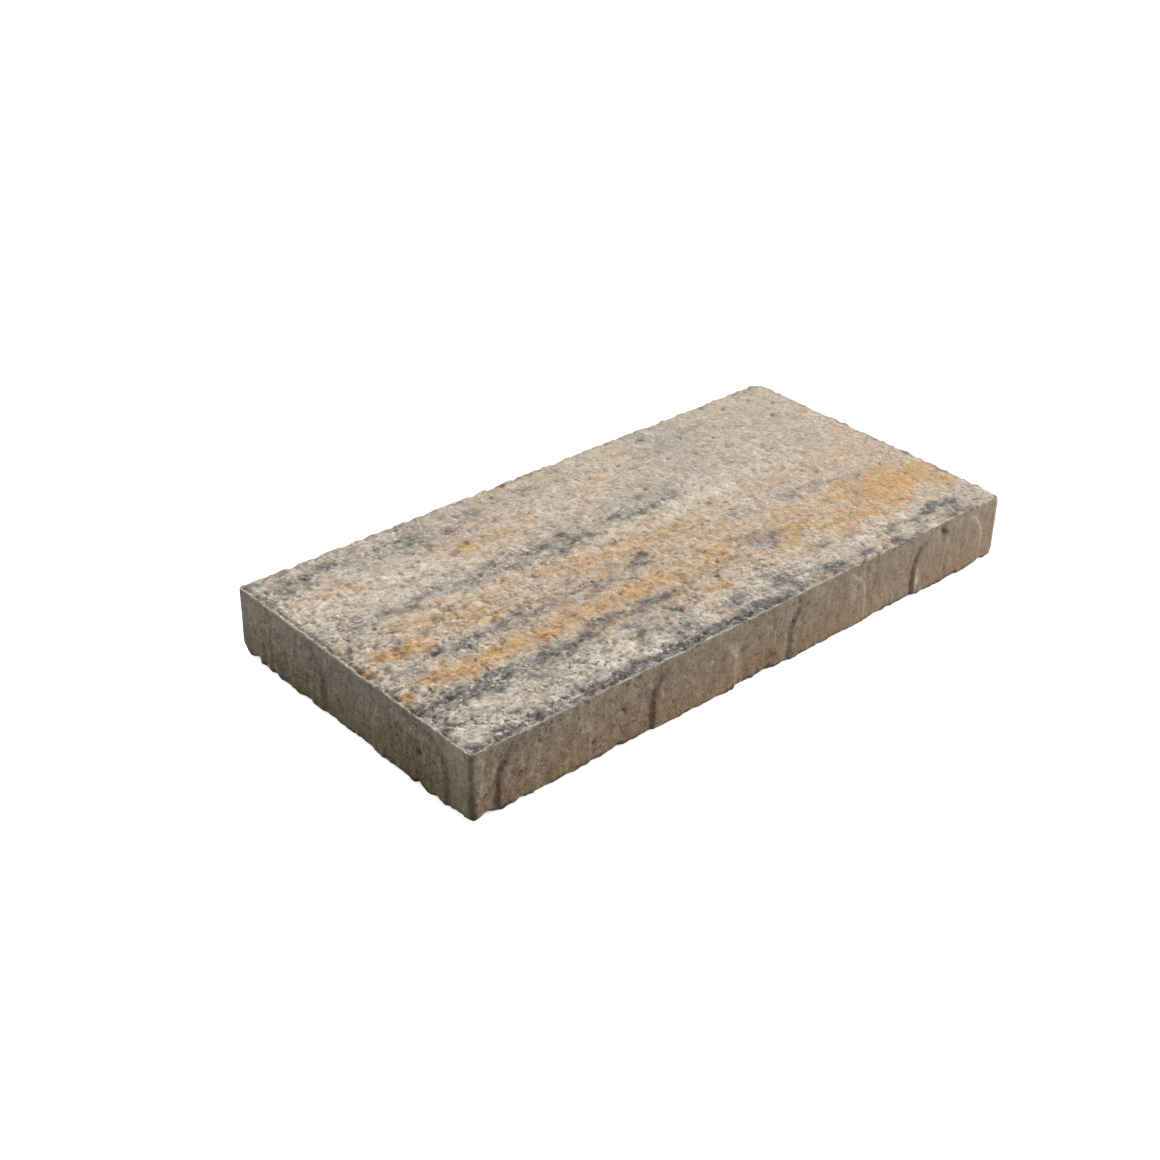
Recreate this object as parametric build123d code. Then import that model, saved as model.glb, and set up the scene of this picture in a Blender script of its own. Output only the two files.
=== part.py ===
"""Concrete paving slab, pressed in one piece in a mould, with spacer pads cast on its four sides.

The frame: the origin is the centre of the bed face, +X runs along the slab and +Z points up to
the walking face. All sizes are in millimetres.
"""
from build123d import *
import math
import os

# The laying size: from pad face to pad face, so that slabs set pad to pad keep this grid
laying_length = 600.0
laying_width = 300.0
slab_thickness = 60.0

# The mould's edges
corner_radius = 3.0  # the four upright corners
rim_radius = 1.0  # the arris round the walking face, worn just off sharp

# A spacer pad: an arch that stands on the bed line and dies away below the walking face
pad_standoff = 1.5  # half of the joint between two slabs
pad_width = 92.0  # across the foot, where the flanks leave the side of the slab
pad_below_rim = 6.0  # plain band of the side left above the pad
pad_shoulder_radius = 28.0
flank_slope = 3.0  # how far each upright flank leans in between foot and pad face
crown_slope = 8.0  # how far the crown leans down, a longer ramp that lets the mould lift off

pad_pitch = 153.0  # from pad to pad along every side


def make_slab():
    """The plain block, its upright corners and the rim of its walking face rounded."""
    slab = Box(
        body_length, body_width, slab_thickness, align=(Align.CENTER, Align.CENTER, Align.MIN)
    )
    slab = fillet(slab.edges().filter_by(Axis.Z), corner_radius)
    walking_face = slab.faces().sort_by(Axis.Z)[-1]
    return fillet(walking_face.edges(), rim_radius)


def make_arch(width, height, shoulder_radius):
    """An arch in outline: a level foot, two upright flanks, two round shoulders, a level crown."""
    blank = Pos(0, height / 2) * Rectangle(width, height)
    shoulders = blank.vertices().group_by(Axis.Y)[-1]
    return fillet(shoulders, shoulder_radius)


def make_pad():
    """One spacer pad on the XY plane, ramping up on three sides from its foot to its flat face."""
    foot_height = slab_thickness - pad_below_rim
    foot = make_arch(pad_width, foot_height, pad_shoulder_radius)
    face = make_arch(
        pad_width - 2 * flank_slope,
        foot_height - crown_slope,
        pad_shoulder_radius - crown_slope,
    )
    return loft([foot, Pos(0, 0, pad_standoff) * face], ruled=True)


def pad_centres(side_length):
    """Pad centres about a side's middle: as many as fit on the flat between its round corners."""
    flat = side_length - 2 * corner_radius
    count = int((flat - pad_width) / pad_pitch) + 1
    return [pad_pitch * (i - (count - 1) / 2) for i in range(count)]


def place_pads(pad, facing, side_length, side_distance):
    """Copies of the pad along the side whose outward normal stands at the angle facing."""
    out = Vector(math.cos(math.radians(facing)), math.sin(math.radians(facing)), 0)
    along = Vector(-out.Y, out.X, 0)
    pads = []
    for centre in pad_centres(side_length):
        seat = Plane(origin=out * side_distance + along * centre, x_dir=along, z_dir=out)
        pads.append(seat * pad)
    return pads


def make_paver():
    """The slab and its pads fused into one solid, as they leave the mould."""
    pad = make_pad()
    pads = []
    for facing in (-90, 90):
        pads += place_pads(pad, facing, body_length, body_width / 2)
    for facing in (0, 180):
        pads += place_pads(pad, facing, body_width, body_length / 2)
    return make_slab().fuse(*pads).clean()


# The block itself is short of the laying size by a pad at each end
body_length = laying_length - 2 * pad_standoff
body_width = laying_width - 2 * pad_standoff

os.makedirs("parts", exist_ok=True)
paver = make_paver()
paver.label = "paver"
export_step(paver, "parts/paver.step")
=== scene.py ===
"""A pressed concrete paving slab, 600 x 300 x 60 mm over its spacer pads, for a studio picture."""
import math

import bpy
import numpy as np
from mathutils import Matrix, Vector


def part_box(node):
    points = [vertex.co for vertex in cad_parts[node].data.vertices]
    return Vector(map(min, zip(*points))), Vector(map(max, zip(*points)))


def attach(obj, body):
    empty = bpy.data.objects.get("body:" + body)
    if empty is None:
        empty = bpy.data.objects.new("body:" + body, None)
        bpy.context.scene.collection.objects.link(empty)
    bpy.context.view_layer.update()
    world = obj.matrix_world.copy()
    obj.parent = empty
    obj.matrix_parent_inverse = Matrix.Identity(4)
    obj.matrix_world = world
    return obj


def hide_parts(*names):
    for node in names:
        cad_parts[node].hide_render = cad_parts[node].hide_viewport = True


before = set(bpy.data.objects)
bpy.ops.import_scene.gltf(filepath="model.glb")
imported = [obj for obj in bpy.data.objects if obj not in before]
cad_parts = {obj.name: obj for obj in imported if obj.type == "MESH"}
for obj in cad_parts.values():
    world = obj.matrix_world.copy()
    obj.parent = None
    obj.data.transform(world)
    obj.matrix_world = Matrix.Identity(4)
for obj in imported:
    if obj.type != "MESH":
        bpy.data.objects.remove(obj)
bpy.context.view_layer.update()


# The slab's shape: one casting of earth-dry concrete pressed in a steel mould box and pushed out
# while green. The mould leaves plain sides with arched spacer pads, an open-grained walking face,
# a thin rim and crumbling lower edges. Every size here is in millimetres until the mesh is made.
lowest, highest = (np.array(corner) * 1000 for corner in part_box("paver"))
thickness = highest[2] - lowest[2]
pad_standoff = 1.5
half = (highest - lowest)[:2] / 2 - pad_standoff
pad_pitch = 153.0
pad_foot = {"half_width": 46.0, "height": 54.0, "shoulder": 28.0}
pad_face = {"half_width": 43.0, "height": 46.0, "shoulder": 20.0}
mesh_cell = 1.87
rim_lines = np.array([0, 0.5, 1.1, 1.9])  # in from a sharp edge, close together to carry its round
bed_lines = [2.0, 1.2, 0.6, 0]  # up from the bed, for its edge's round
plain_from = 3.0  # from here on the lines of the walking face are a cell apart
side_margin, side_rows = 3.2, 27  # the rows of the plain part of the sides
bed_rings = np.array([0.6, 1.4, 2.6, 4.5, 9, 18, 34, 58, 92, 125])  # in under the bed, ever wider


def grid_lines(half_span, cell):
    """Lines from -half_span to half_span, closer at both ends, evenly spaced by about cell between."""
    inner = half_span - plain_from
    even = np.linspace(-inner, inner, round(2 * inner / cell) + 1)
    return np.concatenate([rim_lines - half_span, even, half_span - rim_lines[::-1]])


def box_skin():
    """The slab as a sharp box: a grid for the walking face, rows down its sides, and rings that draw
    in under the bed to a spine on its middle line. Gives the points, and the faces of each part."""
    xs, ys = grid_lines(half[0], mesh_cell), grid_lines(half[1], mesh_cell)
    top = np.stack([*np.meshgrid(xs, ys, indexing="ij"), np.full((len(xs), len(ys)), thickness)], -1)
    number = np.arange(len(xs) * len(ys)).reshape(len(xs), len(ys))
    face = np.stack([number[:-1, :-1], number[1:, :-1], number[1:, 1:], number[:-1, 1:]], -1)
    ring = np.concatenate([number[:-1, 0], number[-1, :-1], number[:0:-1, -1], number[0, :0:-1]])
    edge = top.reshape(-1, 3)[ring]
    plain = np.linspace(thickness - side_margin, side_margin, side_rows)
    heights = [*(thickness - rim_lines[1:]), *plain, *bed_lines]
    insets = bed_rings[:, None, None]
    walls = np.stack([np.column_stack([edge[:, :2], np.full(len(ring), z)]) for z in heights])
    under = np.concatenate(
        [edge[:, :2] * (1 - insets / half), np.zeros((len(insets), len(ring), 1))], axis=-1
    )
    rows = np.concatenate([walls, under])
    first = top.size // 3
    loops = np.vstack([ring, first + np.arange(rows.size // 3).reshape(len(rows), len(ring))])
    beside = np.roll(loops, -1, axis=1)
    strips = np.stack([loops[:-1], loops[1:], beside[1:], beside[:-1]], -1)
    spine = loops.max() + 1 + np.arange(len(xs))
    along = np.rint(np.interp(edge[:, 0], xs, np.arange(len(xs)))).astype(int)
    closing = np.stack([loops[-1], spine[along], spine[np.roll(along, -1)], beside[-1]], -1)
    pointed = closing[:, 1] == closing[:, 2]
    spine_points = np.column_stack([xs * (1 - half[1] / half[0]), np.zeros((len(xs), 2))])
    skin_points = np.vstack([top.reshape(-1, 3), rows.reshape(-1, 3), spine_points])
    skin_faces = {
        "face": face.reshape(-1, 4).tolist(),
        "sides": strips[: len(heights)].reshape(-1, 4).tolist(),
        "bed": [
            *strips[len(heights) :].reshape(-1, 4).tolist(),
            *closing[~pointed].tolist(),
            *closing[pointed][:, [0, 1, 3]].tolist(),
        ],
    }
    return skin_points, skin_faces


def lattice_noise(where, cell, seed, period=1024):
    """Smooth noise from -1 to 1: a random level at each corner of a lattice with that cell size (one
    number, or one for each axis), blended across each cell by a fifth-order step on every axis."""
    rng = np.random.default_rng(seed)
    order, levels = rng.permutation(period), rng.uniform(-1, 1, period)
    scaled = where / cell
    corner = np.floor(scaled).astype(int)
    part = scaled - corner
    part = part**3 * (part * (part * 6 - 15) + 10)
    total = np.zeros(len(where))
    for step in np.ndindex(2, 2, 2):
        at = (corner + step) % period
        picked = order[(order[(order[at[:, 0]] + at[:, 1]) % period] + at[:, 2]) % period]
        total += levels[picked] * np.prod(np.where(step, part, 1 - part), axis=1)
    return total


def smooth_step(start, end, value):
    """0 up to start, 1 from end on, and an S-curve between; it falls where end is below start."""
    part = np.clip((value - start) / (end - start), 0, 1)
    return part * part * (3 - 2 * part)


def arch_distance(across, height, arch):
    """Distance outside an arch that stands on the bed line, negative inside it."""
    side = np.abs(across) - (arch["half_width"] - arch["shoulder"])
    crown = height - (arch["height"] - arch["shoulder"])
    corner = np.hypot(np.maximum(side, 0), np.maximum(crown, 0))
    return corner + np.minimum(np.maximum(side, crown), 0) - arch["shoulder"]


def beside_pad(along, half_side):
    """How far along the side a point lies from the middle of the nearest spacer pad."""
    count = int((2 * half_side - 2 * pad_foot["half_width"]) / pad_pitch) + 1
    nearest = np.clip(np.rint(along / pad_pitch + (count - 1) / 2), 0, count - 1)
    return along - (nearest - (count - 1) / 2) * pad_pitch


def pad_rise(across, height):
    """How far up a spacer pad a point is: 0 off the pad, 1 on its face, and between them the
    distance in from the foot's outline over the whole way to the face's outline."""
    inside_foot = np.maximum(-arch_distance(across, height, pad_foot), 0)
    off_face = np.maximum(arch_distance(across, height, pad_face), 0)
    return inside_foot / np.maximum(inside_foot + off_face, 1e-6)


def round_edge(inset_now, depth_now, radius):
    """Both distances in from a sharp edge, drawn on to an arc of that radius where both are short."""
    inner, deep = radius - inset_now, radius - depth_now
    near = (inner > 0) & (deep > 0)
    shrink = np.where(near, radius / np.maximum(np.hypot(inner, deep), 1e-9), 1)
    inset_new = np.where(near, radius - inner * shrink, inset_now)
    depth_new = np.where(near, radius - deep * shrink, depth_now)
    return inset_new, depth_new


sharp, parts = box_skin()
sharp_x, sharp_y, sharp_z = sharp.T
inset = np.min(half - np.abs(sharp[:, :2]), axis=1)
depth = thickness - sharp_z

# The upright corners are quarter rounds, each with its own radius at the rim and at the bed
corner_wear = {(-1, -1): (4.5, 6.0), (1, -1): (5.5, 8.0), (-1, 1): (3.0, 10.0), (1, 1): (15.0, 11.0)}
corner_round = np.zeros(len(sharp))
low_down = smooth_step(9, 1, sharp_z)
for (sign_x, sign_y), (at_rim, at_bed) in corner_wear.items():
    here = ((sharp_x >= 0) == (sign_x > 0)) & ((sharp_y >= 0) == (sign_y > 0))
    corner_round[here] = (at_rim + (at_bed - at_rim) * low_down)[here]
core_half = half - corner_round[:, None]
core = np.clip(sharp[:, :2], -core_half, core_half)
reach = sharp[:, :2] - core
reach_length = np.maximum(np.linalg.norm(reach, axis=1), 1e-9)[:, None]
rounded = core + reach / reach_length * np.max(np.abs(reach), axis=1)[:, None]

# Outwards means square to the nearest side, turning smoothly round each corner
turning = 14
outward = rounded - np.clip(rounded, turning - half, half - turning)
outward /= np.maximum(np.linalg.norm(outward, axis=1), 1e-9)[:, None]
on_long_side = np.abs(outward[:, 1]) > np.abs(outward[:, 0])

# The rim and the bed's edge are arcs whose radius wanders as grains have broken away. The rim is
# firm by the near left corner, worn towards the right end and rubbed round at the right corner,
# and the bed's edge is a little firmer along the long sides
worn_end = smooth_step(60, 240, sharp_x)
firm_rim = smooth_step(-285, -294, sharp_x) * smooth_step(-45, -85, sharp_y)
rim_noise = lattice_noise(sharp, 9, 11) + lattice_noise(sharp, 3.4, 12)
rim_radius = 0.9 + 0.4 * (1 - 0.6 * firm_rim) * rim_noise
rim_radius += worn_end * (1.0 + 1.6 * lattice_noise(sharp, 4.4, 15) + 0.9 * lattice_noise(sharp, 12, 16))
far_rim = np.maximum(smooth_step(138, 147, sharp_y), smooth_step(288, 297, sharp_x))
right_corner = np.exp(-(np.hypot(sharp_x - half[0], sharp_y + half[1]) / 13) ** 2)
rim_radius += 5.0 * right_corner
far_rim *= 1 - right_corner
bed_noise = 1.1 * lattice_noise(sharp, 10, 13) + 2.0 * lattice_noise(sharp, 3.6, 14)
bed_noise += 1.6 * lattice_noise(sharp, 5.5, 17)
bed_radius = 2.1 + bed_noise * (1 - 0.25 * outward[:, 1] ** 2)
bed_chips = {  # place along the side, width, size
    "short": [(128, 9, 6), (112, 8, 5), (99, 8, 6), (53, 9, 5), (-88, 8, 5), (-109, 8, 4)],
    "long": [(-284, 11, 5), (-253, 8, 4), (-157, 9, 4), (1, 9, 4), (95, 8, 3), (276, 12, 5)],
}
places = {"short": (sharp_y, sharp_x < 0), "long": (sharp_x, sharp_y < 0)}
for side, chips in bed_chips.items():
    along, facing = places[side]
    for place, width, size in chips:
        bed_radius += size * np.exp(-(((along - place) / (width / 2)) ** 2)) * facing
rim_inset, rim_depth = round_edge(inset, depth, np.clip(rim_radius, 0.4, 6.5))
bed_inset, bed_height = round_edge(inset, sharp_z, np.clip(bed_radius, 0.3, 8))
drawn_in = rim_inset + bed_inset - 2 * inset

# The walking face's relief only goes down from the mould's level: open grain, hollows and pits
face_pits = [  # x, y, width, depth
    (125, 132, 3.4, 1.6), (258, 90, 2.8, 1.3), (47, 131, 2.4, 1.1), (90, 5, 2.8, 1.1),
    (230, 128, 2.2, 0.9), (277, 108, 2.4, 0.9), (263, 127, 2.2, 0.8), (65, 60, 2.2, 0.8),
    (75, 107, 2.0, 0.8), (68, 126, 2.0, 0.8), (15, 146, 2.4, 0.9), (-28, 146, 3.0, 1.2),
    (-228, 132, 2.4, 1.0), (-208, 128, 2.4, 1.0), (-250, 124, 3.0, 1.0), (-12, 8, 2.6, 0.8),
]
lip = smooth_step(2.4, 1.0, inset)
# Less paste rose at the left end, and least along its rim and the near one. A shallow gutter runs
# inside the rim, where the mould's wall dragged the paste down
coarseness = np.interp(sharp_x, [-300, 300], [1.1, 0.6]) + 0.9 * smooth_step(-255, -296, sharp_x)
coarseness += 0.8 * smooth_step(-125, -146, sharp_y) * smooth_step(150, -150, sharp_x)
gutter = np.exp(-(((inset - 4.5) / 2.2) ** 2)) * (0.15 + 0.5 * smooth_step(-280, -292, sharp_x))
gutter *= 1 - 0.7 * firm_rim
open_grain = 0.85 + coarseness * (
    0.32 * lattice_noise(sharp, 2.9, 21)
    + 0.42 * lattice_noise(sharp, 5.0, 22)
    + 0.30 * lattice_noise(sharp, 8, 26)
    + 0.18 * lattice_noise(sharp, (26, 14, 14), 23)
    + np.interp(sharp_y, [-20, 60], [1.0, 0.7]) * smooth_step(0.5, 0.95, lattice_noise(sharp, 4.2, 24))
)
face_drop = open_grain * (1 - (0.6 + 0.38 * firm_rim) * lip) + gutter * (1 + lattice_noise(sharp, 3.4, 25))
# Grains have broken off along the far rims, and along the right part of the near one
broken_rim = smooth_step(-0.3, 0.7, lattice_noise(sharp, 8, 27)) + 0.9 * lattice_noise(sharp, 4.2, 28)
near_rim = 0.9 * smooth_step(20, 110, sharp_x) * smooth_step(-138, -147, sharp_y)
corner_drop = right_corner  # by a millimetre at its tip
face_drop += 1.3 * broken_rim * np.maximum(far_rim, near_rim) * lip + corner_drop
far_swells = [(79, 24, 0.5), (-198, 30, 0.4)]  # along the far long side: place, half width, height
for place, reach_along, height in far_swells:
    swell = np.exp(-(((sharp_x - place) / reach_along) ** 2)) * smooth_step(90, 148, sharp_y)
    face_drop -= height * swell
pit_shade = np.zeros(len(sharp))
ragged = 0.45 * lattice_noise(sharp, 2.6, 35)
for pit_x, pit_y, pit_width, pit_depth in face_pits:
    away = np.hypot(sharp_x - pit_x, sharp_y - pit_y) / pit_width + ragged
    dent = np.exp(-np.maximum(away, 0) ** 2)
    face_drop += pit_depth * dent
    pit_shade = np.maximum(pit_shade, dent)
face_drop = np.maximum(face_drop, 0.05)

# The sides carry the pads, fine grain, upright drag marks from the mould, bug holes, and burrs
# that hang on by the bed
bug_holes = {  # place along the side, height, width, depth
    "long": [
        (219, 51, 5, 2.4), (-152, 33, 2.4, 1.4), (-26, 33, 2.4, 1.4), (86, 19, 2.2, 1.2),
        (40, 52, 2.4, 1), (49, 47, 2.2, 1), (-236, 45, 1.8, 1), (-5, 37, 1.8, 1), (7, 33, 1.8, 1),
        (-8, 22, 1.6, 0.9), (-100, 19, 1.8, 1), (12, 12, 2, 1), (-182, 17, 1.8, 1), (66, 30, 1.6, 0.9),
        (-34, 3, 2.2, 1.2), (-15, 3, 1.8, 1), (7, 4, 3, 1.5), (35, 5, 2.2, 1.3), (33, 18, 1.6, 1),
    ],
    "short": [
        (-90, 30, 4, 1.6), (110, 45, 3, 0.8), (46, 43, 2.6, 0.8), (14, 21, 2, 0.8), (-18, 15, 2, 0.8),
    ],
}
side_swell = (
    -0.40
    + 0.12 * lattice_noise(sharp, 2.4, 31)
    + 0.07 * lattice_noise(sharp, (6, 6, 45), 32)
    + 0.12 * lattice_noise(sharp, 16, 33)
    - 0.8 * smooth_step(0.55, 0.95, lattice_noise(sharp, 3.8, 34))
)
near_long_side = on_long_side & (sharp_y < 0)
burrs = [(69, 1.2), (94, 1.2), (192, 1.6), (211, 1.4), (245, 1.2)]  # along that side, size
for place, size in burrs:
    crumb = np.exp(-(((sharp_x - place) / 2.6) ** 2) - ((sharp_z - 2.5) / 2.5) ** 2)
    side_swell += size * crumb * near_long_side
for side, holes in bug_holes.items():
    along, facing = places[side]
    facing = facing & (on_long_side if side == "long" else ~on_long_side) & (depth > 1)
    for place, height, width, hole_depth in holes:
        away = np.hypot((along - place) / width, (sharp_z - height) / (0.8 * width)) + ragged
        dent = np.exp(-np.maximum(away, 0) ** 2) * facing
        side_swell -= hole_depth * dent
        pit_shade = np.maximum(pit_shade, dent)
across = np.where(on_long_side, beside_pad(sharp_x, half[0]), beside_pad(sharp_y, half[1]))
pad_share = pad_rise(across, sharp_z)
# The flanks are steeper towards the right, as the mould's pockets there are less worn
flank_width = np.interp(sharp_x, [-100, 20, 150], [1.0, 0.6, 0.35])
side_swell += pad_standoff * np.minimum(pad_share / flank_width, 1)

# The bed is screeded ground: its relief only goes up, into the slab
bed_rise = np.maximum(0.45 + 0.3 * lattice_noise(sharp, 5, 41) + 0.3 * lattice_noise(sharp, 14, 42), 0)

side_share = smooth_step(7, 0, inset)
outwards_by = side_swell * side_share - drawn_in
points = np.column_stack([
    rounded + outward * outwards_by[:, None],
    sharp_z - (rim_depth - depth) + (bed_height - sharp_z)
    - face_drop * smooth_step(2.5, 0.5, rim_depth)
    + bed_rise * smooth_step(2.5, 0.5, bed_height),
])
points = np.clip(points, lowest, highest)

slab_mesh = bpy.data.meshes.new("paving_slab")
slab_mesh.from_pydata((points / 1000).tolist(), [], parts["face"] + parts["sides"] + parts["bed"])
slab_mesh.polygons.foreach_set("use_smooth", np.ones(len(slab_mesh.polygons), bool))
slab = bpy.data.objects.new("paving_slab", slab_mesh)
bpy.context.scene.collection.objects.link(slab)
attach(slab, "root")
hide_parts("paver")


# The pigments: iron oxide colours are tipped into the face mix in turn and half stirred, so that
# charcoal, ochre and pale streaks lie along the slab. Each line is x, y, length, width, strength.
charcoal_streaks = [
    (-288, -141, 14, 8, 0.9), (-258, -142, 20, 8, 0.9), (-232, -141, 18, 8, 0.9),
    (-207, -142, 14, 7, 0.7), (-185, -141, 18, 8, 0.9), (-157, -142, 14, 7, 0.7),
    (-132, -141, 20, 9, 1.2), (-100, -142, 16, 8, 0.9), (-233, -127, 16, 8, 0.9), (-217, -128, 8, 6, 0.8),
    (-183, -130, 14, 9, 0.9), (-268, -112, 10, 10, 0.6), (-297, -80, 14, 12, 1.0),
    (-275, -85, 24, 16, 1.0), (-250, -85, 26, 14, 1.0), (-222, -82, 22, 11, 1.2), (-230, -95, 15, 8, 0.9),
    (-176, -84, 20, 11, 1.2), (-145, -86, 26, 10, 1.0), (-112, -74, 16, 8, 0.9), (-100, -94, 10, 6, 0.8),
    (-160, -76, 10, 6, 0.8), (-265, -38, 18, 9, 0.8), (-228, -30, 14, 9, 0.9), (-226, -39, 10, 6, 0.8),
    (-205, -30, 26, 12, 0.9), (-171, -30, 12, 10, 1.0), (-152, -27, 20, 10, 0.8), (-133, -17, 16, 7, 0.6),
    (-112, -17, 12, 7, 0.7), (-130, -32, 14, 7, 0.4), (-100, -30, 12, 7, 0.6), (-250, 3, 22, 12, 0.4),
    (-257, 48, 14, 9, 0.8), (-228, 42, 14, 12, 0.8), (-265, 35, 22, 10, 0.9), (-215, 36, 22, 10, 0.4),
    (-190, 42, 32, 12, 0.5), (-160, 58, 10, 6, 0.8), (-150, 36, 30, 12, 0.5), (-128, 45, 20, 8, 0.8),
    (-115, 32, 26, 8, 0.9), (-250, 125, 20, 12, 0.8), (-272, 122, 20, 14, 0.7), (-228, 132, 8, 6, 0.8),
    (-200, 110, 10, 6, 0.7), (-148, 115, 10, 6, 0.7), (-110, 110, 10, 6, 0.7), (-80, -143, 42, 7, 0.9),
    (-65, -141, 22, 9, 1.2), (-38, -140, 14, 9, 1.2), (-10, -141, 36, 9, 1.2), (22, -143, 10, 6, 0.9),
    (45, -141, 26, 10, 0.8), (-60, -125, 12, 8, 0.8), (-55, -101, 13, 10, 1.1), (-30, -100, 8, 6, 0.8),
    (-5, -121, 26, 9, 1.0), (46, -124, 20, 14, 1.2), (42, -110, 12, 10, 0.8), (12, -136, 36, 10, 0.6),
    (70, -128, 13, 7, 0.9), (92, -137, 22, 12, 1.3), (-60, -80, 32, 10, 0.9), (-45, -84, 14, 7, 0.8),
    (-95, -29, 20, 12, 0.3), (-78, -37, 16, 8, 0.4), (-63, -38, 10, 6, 0.6), (-90, -15, 14, 8, 0.4),
    (-15, -22, 14, 8, 0.9), (-20, -30, 16, 10, 0.9), (80, -80, 16, 7, 0.8), (90, -20, 16, 8, 0.6),
    (-40, 32, 17, 10, 1.2), (-25, 28, 12, 8, 0.9), (-45, 48, 14, 10, 0.9), (-75, 40, 26, 10, 0.9),
    (-60, 25, 16, 8, 0.9), (10, 42, 12, 6, 0.9), (25, 33, 20, 8, 0.9), (50, 32, 16, 8, 0.9),
    (50, 52, 12, 8, 0.7), (78, 33, 14, 8, 0.7), (80, 42, 20, 7, 0.7), (20, 40, 42, 14, 0.4),
    (-80, 125, 20, 12, 0.6), (-85, 112, 16, 10, 0.6), (-20, 128, 26, 15, 0.5), (127, -141, 18, 8, 0.8),
    (133, -134, 14, 12, 0.4), (110, -105, 15, 10, 0.9), (143, -110, 13, 10, 0.6),
    (170, -141, 12, 12, 1.2), (172, -129, 14, 8, 0.5), (182, -119, 16, 8, 0.8), (203, -127, 12, 10, 0.7),
    (225, -124, 14, 7, 1.1), (237, -125, 26, 8, 1.1), (245, -118, 22, 5, 0.9), (255, -126, 16, 6, 0.9),
    (248, -141, 26, 8, 0.9), (275, -138, 10, 6, 0.8), (155, -28, 32, 12, 0.7), (190, -27, 9, 6, 0.8),
    (227, -42, 11, 6, 0.8), (205, -65, 13, 8, 0.7), (285, -50, 16, 10, 0.5), (165, 45, 22, 14, 0.4),
    (-200, 130, 210, 36, 0.4), (-180, 42, 190, 30, 0.15), (-55, 41, 90, 34, 0.25), (60, 38, 170, 26, 0.1),
    (-190, -31, 130, 13, 0.4), (-45, -34, 110, 26, 0.25), (-225, -85, 160, 26, 0.65),
    (-85, -81, 120, 18, 0.4), (-120, -142, 370, 14, 0.85), (10, -128, 80, 20, 0.25),
    (215, -127, 110, 20, 0.2), (125, -125, 40, 40, 0.2), (-297, 0, 9, 300, 0.4), (-85, -105, 60, 46, 0.4),
    (-188, -102, 36, 18, 0.4), (-275, -111, 32, 16, 0.4), (-100, -42, 44, 14, 0.35),
    (-150, -42, 38, 10, 0.35), (-232, -40, 44, 10, 0.3), (80, -66, 44, 24, 0.35), (190, -144, 28, 8, 0.7),
    (-145, 114, 28, 26, 0.35), (-132, -128, 20, 14, 0.35), (-215, -108, 10, 8, 0.3),
    (-160, -104, 14, 8, 0.3), (-110, -128, 16, 8, 0.5), (-79, -114, 12, 10, 0.8),
    (-245, -118, 12, 8, 0.4), (-198, -99, 9, 8, 0.7), (-167, -107, 12, 7, 0.6), (-156, -125, 9, 8, 0.6),
    (-100, -109, 13, 9, 0.8), (-112, -121, 12, 7, 0.6), (-136, -106, 12, 7, 0.5), (-288, -109, 9, 8, 0.6),
    (-228, -82, 20, 12, 0.5), (-184, -118, 14, 12, 0.5), (185, -122, 22, 12, 0.5),
    (246, -136, 18, 12, 0.5), (-86, -7, 22, 8, 0.4), (-236, -82, 26, 10, 0.4), (-105, -111, 14, 8, 0.5),
    (-75, -129, 16, 8, 0.5), (-45, -108, 14, 8, 0.5), (48, -75, 80, 10, 0.35), (200, -141, 12, 8, 0.6),
    (208, -55, 34, 8, 0.4), (-290, 48, 12, 12, 0.5), (-265, -134, 14, 8, 0.5), (98, -30, 22, 12, 0.35),
    (-248, 34, 18, 16, 0.4), (-225, -82, 16, 8, 0.5), (-46, -15, 16, 8, 0.4), (84, -62, 28, 22, 0.35),
    (0, -79, 50, 9, 0.35), (-255, 36, 22, 12, 0.4),
]
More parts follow.
